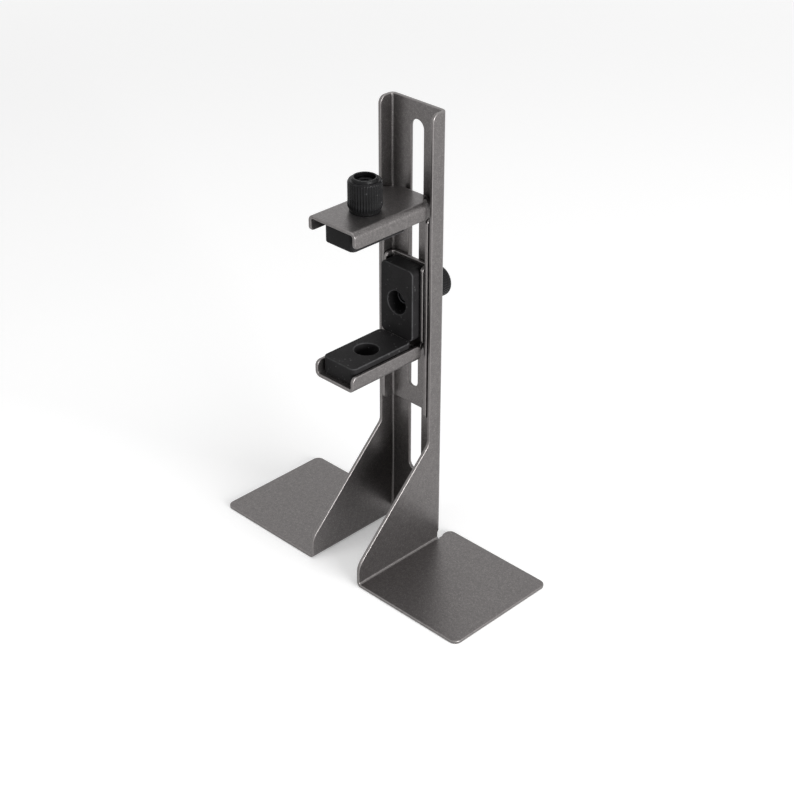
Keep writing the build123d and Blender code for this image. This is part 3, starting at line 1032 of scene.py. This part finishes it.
class BRACKET_OT_pads(bpy.types.Operator):
    """Make the three rubber pads"""

    bl_idname = "bracket.pads"
    bl_label = "Rubber pads"

    def execute(self, context):
        thickness = CLAMP_HIGH.z - CLAMP_LOW.z
        pocket = DISC_LOW.z - CLAMP_LOW.z
        back_hole = (BACK_LOW.z + BACK_HIGH.z) / 2 - BACK_HOLE_DROP
        rest = pad_shape(REST_LOW.xy, REST_HIGH.xy, CLAMP_AXIS.y, REST_HIGH.z - REST_LOW.z)
        back = pad_shape(BACK_LOW.xz, BACK_HIGH.xz, back_hole, BACK_HIGH.y - BACK_LOW.y)
        clamp = pad_shape(CLAMP_LOW.xy, CLAMP_HIGH.xy, CLAMP_AXIS.y, thickness, pocket)
        rows = (
            ("rest", rest, placed(0, REST_LOW.z), "lower_bracket"),
            ("back", back, placed(BACK_HIGH.y, 0, 90), "lower_bracket"),
            ("clamp", clamp, placed(0, CLAMP_LOW.z), "clamp_pad"),
        )
        for name, shape, place, body in rows:
            item = to_object(shape, name + "_rubber", place)
            finish_piece(item, name + "_pad", body, "pad_rubber")
        return {"FINISHED"}


# -------- screws


def knob_shape(ribs):
    """A knob standing on its neck, bored for its bolt, before its ribs are cut."""
    bore = BOLT_SHANK + BOLT_GAP
    head_bore = (BOLT_HIGH.x - BOLT_LOW.x) / 2 + BOLT_GAP
    height = KNOB_HIGH.z - KNOB_LOW.z
    collar = (KNOB_HIGH.x - KNOB_LOW.x) / 2
    corners = [
        # neck
        (bore, 0, 0.0),
        (KNOB_NECK, 0, 0.2),
        (KNOB_NECK, 1.0, 0.5),
        # collar
        (collar, 2.3, 0.5),
        (collar, 3.2, 0.8),
        # ribbed body and ledge
        (KNOB_BODY, 4.8, 2.0),
        (KNOB_BODY, 12.1, 0.5),
        (KNOB_NECK, 13.0, 0.4),
        # ring
        (KNOB_RING + 0.1, 12.9, 0.25),
        (KNOB_RING, height, 0.45),
        (head_bore, height, 0.15),
        # seat of the bolt's head
        (head_bore, BOLT_SEAT, 0.0),
        (bore, BOLT_SEAT, 0.0),
    ]
    line = rounded(corners, True, math.radians(12))
    return lathe(spaced(line + line[:1], 0.6)[:-1], ribs * 8, True)[0]


def bolt_shape(length, has_tip):
    """A socket head bolt, its head's seat at height 0 and its shank running down."""
    top = BOLT_HEAD_HEIGHT
    corners = [
        (BOLT_HEAD - BOLT_BEVEL, top, 0.0),
        (BOLT_HEAD, top - BOLT_BEVEL, 0.3),
        (BOLT_HEAD, 0, 0.1),
        (BOLT_SHANK, 0, 0.1),
    ]
    if has_tip:
        corners += [
            (BOLT_SHANK, -length, 0.3),
            (TIP_RADIUS, -length, 0.0),
            (TIP_RADIUS, -length - TIP_LENGTH, 0.2),
            (0, -length - TIP_LENGTH, 0),
        ]
    else:
        corners += [(BOLT_SHANK, -length + 0.35, 0.1), (BOLT_END, -length, 0.1), (0, -length, 0)]
    arc_step = math.radians(15)
    shape, rings = lathe(spaced(rounded(corners, False, arc_step), 0.1), 48)

    socket = SOCKET_HALF / math.cos(math.pi / 6)
    hexagon = [(p.x, p.y, 0.12) for p in circle(0, 0, socket, 6)]
    outline = rounded(hexagon, True, arc_step)
    loops = []
    for gap, level in ((SOCKET_BEVEL, top), (0, top - SOCKET_BEVEL), (0, top - SOCKET_DEPTH)):
        loops.append([shape.verts.new((p.x, p.y, level)) for p in inset(outline, -gap)])
    for high, low in zip(loops, loops[1:]):
        band(shape, high, low)
    top_edges = edges_round(shape, rings[0]) + edges_round(shape, loops[0])
    bmesh.ops.triangle_fill(shape, edges=top_edges, use_beauty=True)
    shape.faces.new(loops[-1])
    bmesh.ops.recalc_face_normals(shape, faces=shape.faces)
    return shape


def put_in_place(item, place):
    """Moves a mesh in metres by a placement in millimetres."""
    item.data.transform(Matrix.Scale(MM, 4) @ place @ Matrix.Scale(1 / MM, 4))


class BRACKET_OT_knobs(bpy.types.Operator):
    """Make the two ribbed thumb screws"""

    bl_idname = "bracket.knobs"
    bl_label = "Thumb screws"

    def execute(self, context):
        knob = context.scene.bracket_knob
        ribs = rib_tree()
        thread = thread_tree()
        rib_sizes = {"Ribs": knob.ribs, "Depth": knob.rib_depth, **RIB_ZONE}
        thread_sizes = {"Pitch": knob.thread_pitch, "Depth": knob.thread_depth, **THREAD_ZONE}
        upright = placed(CLAMP_AXIS.y, KNOB_LOW.z)
        laid = placed(BACK_KNOB_LOW.y, LOCK_AXIS.z, -90)
        clamp_length = KNOB_LOW.z + BOLT_SEAT - BOLT_LOW.z - TIP_LENGTH
        lock_length = BACK_KNOB_LOW.y + BOLT_SEAT - BACK_BOLT_LOW.y
        rows = (
            ("clamp", upright, clamp_length, True),
            ("lock", laid, lock_length, False),
        )
        for name, place, length, has_tip in rows:
            item = to_object(knob_shape(knob.ribs), name + "_thumb_knob")
            run_tree(item, ribs, finish("knob_plastic"), rib_sizes)
            put_in_place(item, place)
            finish_piece(item, name + "_knob", name + "_screw", "knob_plastic")

            item = to_object(bolt_shape(length, has_tip), name + "_socket_bolt")
            run_tree(item, thread, finish("black_steel"), {"Low": -length * MM, **thread_sizes})
            put_in_place(item, place @ placed(0, BOLT_SEAT))
            finish_piece(item, name + "_bolt", name + "_screw", "black_steel")
        return {"FINISHED"}


class BRACKET_OT_nuts(bpy.types.Operator):
    """Make the press nuts and the disc that carries the clamp pad"""

    bl_idname = "bracket.nuts"
    bl_label = "Nuts and disc"

    def execute(self, context):
        spigot = NUT_SPIGOT_HEIGHT
        height = ARM_NUT_HIGH.z - ARM_NUT_LOW.z - spigot
        nut = [
            (NUT_BORE / 2, -spigot, 0.2),
            (NUT_SPIGOT / 2, -spigot, 0.1),
            (NUT_SPIGOT / 2, 0, 0.0),
            (NUT_BODY / 2, 0, 0.1),
            (NUT_BODY / 2, height, 0.4),
            (NUT_BORE / 2, height, 0.35),
        ]
        disc = [
            (DISC_HOLE, 0, 0.1),
            (DISC_RADIUS, 0, 0.2),
            (DISC_RADIUS, DISC_HEIGHT, 0.2),
            (DISC_HOLE, DISC_HEIGHT, 0.1),
        ]
        under_arm = placed(CLAMP_AXIS.y, ARM_NUT_HIGH.z - spigot, 180)
        in_pad = placed(BACK_NUT_HIGH.y - spigot, LOCK_AXIS.z, 90)
        on_pad = placed(CLAMP_AXIS.y, DISC_LOW.z)
        rows = (
            ("arm_press_nut", "clamp_nut", "upper_bracket", nut, under_arm, "black_steel"),
            ("back_press_nut", "lock_nut", "lower_bracket", nut, in_pad, "black_steel"),
            ("screw_tip_disc", "swivel_disc", "clamp_pad", disc, on_pad, "plated_steel"),
        )
        for name, node, body, corners, place, slot in rows:
            shape = lathe(rounded(corners, True, math.radians(18)), 72, True)[0]
            finish_piece(to_object(shape, name, place), node, body, slot)
        return {"FINISHED"}


# -------- stage


def add_camera():
    """Makes the camera at the photograph's viewing angle."""
    yaw, pitch, roll = (math.radians(angle) for angle in CAMERA_YAW_PITCH_ROLL)
    flat_ahead = Vector((-math.sin(yaw), math.cos(yaw), 0))
    ahead = flat_ahead * math.cos(pitch) - Vector((0, 0, math.sin(pitch)))
    across = Vector((math.cos(yaw), math.sin(yaw), 0))
    above = across.cross(ahead)
    right = math.cos(roll) * across + math.sin(roll) * above
    up = -math.sin(roll) * across + math.cos(roll) * above
    data = bpy.data.cameras.new("Camera")
    data.lens = CAMERA_LENS
    data.sensor_width = CAMERA_SENSOR
    data.shift_x, data.shift_y = CAMERA_SHIFT
    data.clip_start, data.clip_end = CAMERA_CLIP
    camera = linked("Camera", data)
    turned = Matrix((right, up, -ahead)).transposed().to_4x4()
    camera.matrix_world = Matrix.Translation(CAMERA_PLACE) @ turned
    bpy.context.scene.camera = camera


def seen_by_camera(maker):
    """1 for what the camera sees, also by reflection or through glass, and 0 for light."""
    path = maker.put("ShaderNodeLightPath").outputs
    seen = maker.math("MAXIMUM", path["Is Camera Ray"], path["Is Glossy Ray"])
    return maker.math("MAXIMUM", seen, path["Is Transmission Ray"])


def add_room(sky):
    """Makes the plain room, which gives a soft light and looks white."""
    world = bpy.data.worlds.new("Room")
    world.use_nodes = True
    world.node_tree.nodes.clear()
    maker = TreeMaker(world.node_tree)
    level = ramp(maker, seen_by_camera(maker), 0.0, 1.0, sky, 1.0)
    back = maker.put("ShaderNodeBackground", (1, 1, 1, 1), level)
    maker.put("ShaderNodeOutputWorld", back.outputs[0])
    bpy.context.scene.world = world


def add_floor(floor_white):
    """Makes the pale floor, which keeps the shadow and looks white further out."""
    shape = bmesh.new()
    bmesh.ops.create_grid(shape, x_segments=1, y_segments=1, size=FLOOR_HALF)
    floor = to_object(shape, "floor", placed(0, -FLOOR_DROP))
    maker, shader, place = new_material("Pale floor")
    seen = seen_by_camera(maker)
    away = maker.put("ShaderNodeVectorMath", place, operation="LENGTH").outputs["Value"]
    far = ease(maker, away, *FLOOR_FADE)
    near = maker.rest(maker.times(far, seen))
    tone = maker.times(ramp(maker, seen, 0.0, 1.0, *FLOOR_TONES), near)
    grey = maker.put("ShaderNodeCombineColor", tone, tone, tone).outputs[0]
    maker.link(grey, shader.inputs["Base Color"])
    glow = maker.times(seen, ramp(maker, far, 0.0, 1.0, floor_white, 1.0))
    maker.link(glow, shader.inputs["Emission Strength"])
    shader.inputs["Emission Color"].default_value = (1, 1, 1, 1)
    shader.inputs["Roughness"].default_value = 0.9
    shader.inputs["Specular IOR Level"].default_value = 0.1
    floor.data.materials.append(bpy.data.materials["Pale floor"])


def add_lamp(name, place, target, width, height, power):
    """Makes a large soft lamp that points at a place."""
    data = bpy.data.lights.new(name, "AREA")
    data.shape = "RECTANGLE"
    data.size, data.size_y = width, height
    data.energy = power
    item = linked(name, data)
    item.location = place
    item.rotation_euler = (Vector(target) - Vector(place)).to_track_quat("-Z", "Y").to_euler()


class BRACKET_OT_stage(bpy.types.Operator):
    """Make the camera, the lamps and the pale floor"""

    bl_idname = "bracket.stage"
    bl_label = "Studio"

    def execute(self, context):
        studio = context.scene.bracket_studio
        context.scene.view_settings.view_transform = "Standard"
        add_camera()
        add_room(studio.sky)
        add_floor(studio.floor_white)
        for name, (place, target, width, height, setting) in LAMPS.items():
            add_lamp(name, place, target, width, height, getattr(studio, setting))
        return {"FINISHED"}


# -------- add-on


class BRACKET_PT_panel(bpy.types.Panel):
    """Lists the pieces and their settings in the sidebar"""

    bl_label = "Support bracket"
    bl_idname = "BRACKET_PT_panel"
    bl_space_type = "VIEW_3D"
    bl_region_type = "UI"
    bl_category = "Support bracket"

    def draw(self, context):
        for group in GROUPS:
            box = self.layout.box()
            settings = getattr(context.scene, group)
            for name in settings.__annotations__:
                box.prop(settings, name)
        for operator in OPERATORS:
            self.layout.operator(operator.bl_idname)


GROUPS = {
    "bracket_coat": CoatSettings,
    "bracket_rubber": RubberSettings,
    "bracket_knob": KnobSettings,
    "bracket_studio": StudioSettings,
}
OPERATORS = (
    BRACKET_OT_stage,
    BRACKET_OT_stand,
    BRACKET_OT_arms,
    BRACKET_OT_pads,
    BRACKET_OT_knobs,
    BRACKET_OT_nuts,
)


def register():
    """Registers the settings, the operators and the panel."""
    for name, group in GROUPS.items():
        bpy.utils.register_class(group)
        setattr(bpy.types.Scene, name, PointerProperty(type=group))
    for kind in (*OPERATORS, BRACKET_PT_panel):
        bpy.utils.register_class(kind)


def unregister():
    """Takes back what register did."""
    for kind in (BRACKET_PT_panel, *reversed(OPERATORS)):
        bpy.utils.unregister_class(kind)
    for name, group in reversed(GROUPS.items()):
        delattr(bpy.types.Scene, name)
        bpy.utils.unregister_class(group)


def main():
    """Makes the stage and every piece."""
    register()
    bpy.ops.bracket.stage()
    bpy.ops.bracket.stand()
    bpy.ops.bracket.arms()
    bpy.ops.bracket.pads()
    bpy.ops.bracket.knobs()
    bpy.ops.bracket.nuts()


if __name__ == "__main__":
    main()
